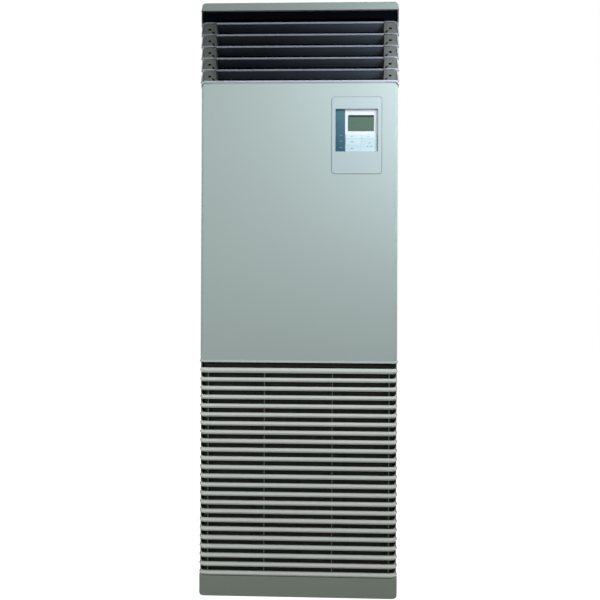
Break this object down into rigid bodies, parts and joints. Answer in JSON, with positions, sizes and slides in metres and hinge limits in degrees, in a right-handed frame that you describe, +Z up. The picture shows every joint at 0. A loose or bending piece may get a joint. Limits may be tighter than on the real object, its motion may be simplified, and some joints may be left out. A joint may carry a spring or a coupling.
{
  "type": "floor standing air conditioner",
  "caption": "Tall floor standing air conditioner: tilting outlet louvres over a plain front panel with a recessed controller, and a slatted intake grille that wraps round the front corners.",
  "frame": {"origin": "middle of the footprint, on the floor", "axes": "+Z up, -Y towards the front with the louvres and grille, +X to the right of someone who faces the front"},
  "size_m": [0.586, 0.32, 1.75],
  "materials": {
    "panel": "satin paint",
    "plinth": "satin paint",
    "zinc": "zinc coated sheet",
    "grille": "fine texture",
    "bezel": "fine texture",
    "posts": "fine texture",
    "light_trim": "satin",
    "blades": "fine texture",
    "dark_plastic": "fine texture",
    "filter_cloth": "woven mesh",
    "controller": "satin",
    "blue_strip": "gloss",
    "display": "gloss"
  },
  "bodies": {
    "cabinet": {"base_plinth": "plinth", "base_pan": "plinth", "intake_grille": "grille", "filter_frame": "dark_plastic", "filter_mesh": "filter_cloth", "front_panel": "panel", "control_cover": "bezel", "controller_body": "controller", "indicator_strip": "blue_strip", "display": "display", "key_top_left": "controller", "key_top_right": "controller", "key_mid_left": "controller", "key_low_left": "controller", "key_on_off": "controller", "outlet_sill": "light_trim", "outlet_post_left": "posts", "outlet_post_right": "posts", "outlet_hood": "dark_plastic", "duct_left": "dark_plastic", "duct_right": "dark_plastic", "duct_back": "dark_plastic", "guide_vanes": "dark_plastic", "top_cover": "light_trim", "left_side_panel": "panel", "right_side_panel": "panel", "pipe_blank_left": "panel", "pipe_blank_right": "panel", "back_panel": "zinc"},
    "louver_body_1": {"louver_1": "blades", "louver_trim_1": "light_trim"},
    "louver_body_2": {"louver_2": "blades", "louver_trim_2": "light_trim"},
    "louver_body_3": {"louver_3": "blades", "louver_trim_3": "light_trim"},
    "louver_body_4": {"louver_4": "blades", "louver_trim_4": "light_trim"},
    "louver_body_5": {"louver_5": "blades", "louver_trim_5": "light_trim"}
  },
  "joints": [
    {"name": "louver_tilt_1", "type": "hinge", "parent": "cabinet", "child": "louver_body_1", "pos_m": [0, -0.1541, 1.6903], "axis": [1, 0, 0], "range_deg": [-8, 38]},
    {"name": "louver_tilt_2", "type": "hinge", "parent": "cabinet", "child": "louver_body_2", "pos_m": [0, -0.1541, 1.6557], "axis": [1, 0, 0], "range_deg": [-8, 38]},
    {"name": "louver_tilt_3", "type": "hinge", "parent": "cabinet", "child": "louver_body_3", "pos_m": [0, -0.1541, 1.6211], "axis": [1, 0, 0], "range_deg": [-8, 38]},
    {"name": "louver_tilt_4", "type": "hinge", "parent": "cabinet", "child": "louver_body_4", "pos_m": [0, -0.1541, 1.5865], "axis": [1, 0, 0], "range_deg": [-8, 38]},
    {"name": "louver_tilt_5", "type": "hinge", "parent": "cabinet", "child": "louver_body_5", "pos_m": [0, -0.1541, 1.5519], "axis": [1, 0, 0], "range_deg": [-8, 38]}
  ]
}
